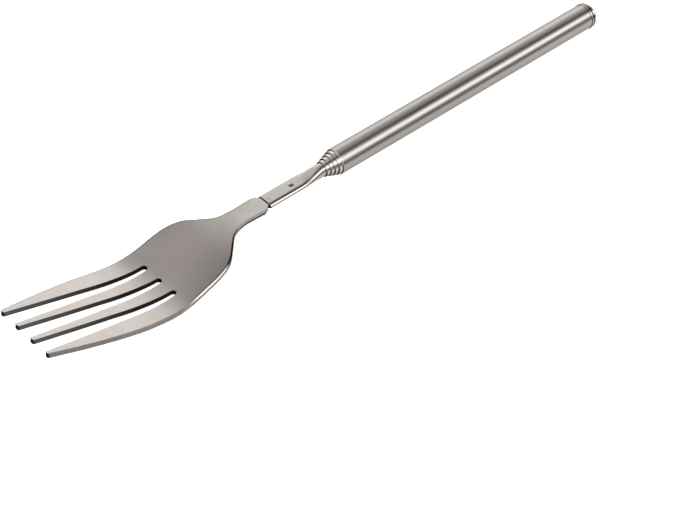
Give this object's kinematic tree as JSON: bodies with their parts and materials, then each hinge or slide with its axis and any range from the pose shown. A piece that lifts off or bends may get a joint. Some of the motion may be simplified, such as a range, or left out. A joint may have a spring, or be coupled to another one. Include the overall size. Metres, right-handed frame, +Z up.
{
  "type": "telescoping marshmallow roasting fork",
  "caption": "Extendable roasting fork: a pressed fork head pinned to nested steel tubes that slide out of a slim round handle, held by friction.",
  "frame": {"origin": "under the middle of the closed fork's length and width, on the level of the bowl's lowest point", "axes": "+X along the fork from the tines to the end cap, +Y across it, +Z up with the tines curving up"},
  "size_m": [0.2204, 0.0274, 0.0119],
  "materials": {
    "head_steel": "satin, fine grain along the fork",
    "tube_steel": "polished drawn tube",
    "handle_steel": "satin, drawn along the tube",
    "cap_steel": "polished",
    "shim_bronze": "bright spring strip"
  },
  "bodies": {
    "handle": {"handle_tube": "handle_steel", "end_cap": "cap_steel"},
    "shims_5": {"shim_5_upper": "shim_bronze", "shim_5_lower": "shim_bronze"},
    "section_5": {"tube_5": "tube_steel"},
    "shims_4": {"shim_4_upper": "shim_bronze", "shim_4_lower": "shim_bronze"},
    "section_4": {"tube_4": "tube_steel"},
    "shims_3": {"shim_3_upper": "shim_bronze", "shim_3_lower": "shim_bronze"},
    "section_3": {"tube_3": "tube_steel"},
    "shims_2": {"shim_2_upper": "shim_bronze", "shim_2_lower": "shim_bronze"},
    "section_2": {"tube_2": "tube_steel"},
    "shims_1": {"shim_1_upper": "shim_bronze", "shim_1_lower": "shim_bronze"},
    "section_1": {"neck_tube": "tube_steel", "neck_pin": "tube_steel", "fork_head": "head_steel"}
  },
  "joints": [
    {"name": "slide_5", "type": "slide", "parent": "handle", "child": "shims_5", "axis": [-1, 0, 0], "range_m": [0, 0.0921]},
    {"name": "turn_5", "type": "hinge", "parent": "shims_5", "child": "section_5", "pos_m": [0, 0, 0.00757], "axis": [1, 0, 0], "continuous": true},
    {"name": "slide_4", "type": "slide", "parent": "section_5", "child": "shims_4", "axis": [-1, 0, 0], "range_m": [0, 0.0868]},
    {"name": "turn_4", "type": "hinge", "parent": "shims_4", "child": "section_4", "pos_m": [0, 0, 0.00757], "axis": [1, 0, 0], "continuous": true},
    {"name": "slide_3", "type": "slide", "parent": "section_4", "child": "shims_3", "axis": [-1, 0, 0], "range_m": [0, 0.0816]},
    {"name": "turn_3", "type": "hinge", "parent": "shims_3", "child": "section_3", "pos_m": [0, 0, 0.00757], "axis": [1, 0, 0], "continuous": true},
    {"name": "slide_2", "type": "slide", "parent": "section_3", "child": "shims_2", "axis": [-1, 0, 0], "range_m": [0, 0.0763]},
    {"name": "turn_2", "type": "hinge", "parent": "shims_2", "child": "section_2", "pos_m": [0, 0, 0.00757], "axis": [1, 0, 0], "continuous": true},
    {"name": "slide_1", "type": "slide", "parent": "section_2", "child": "shims_1", "axis": [-1, 0, 0], "range_m": [0, 0.0711]},
    {"name": "turn_1", "type": "hinge", "parent": "shims_1", "child": "section_1", "pos_m": [0, 0, 0.00757], "axis": [1, 0, 0], "continuous": true}
  ]
}
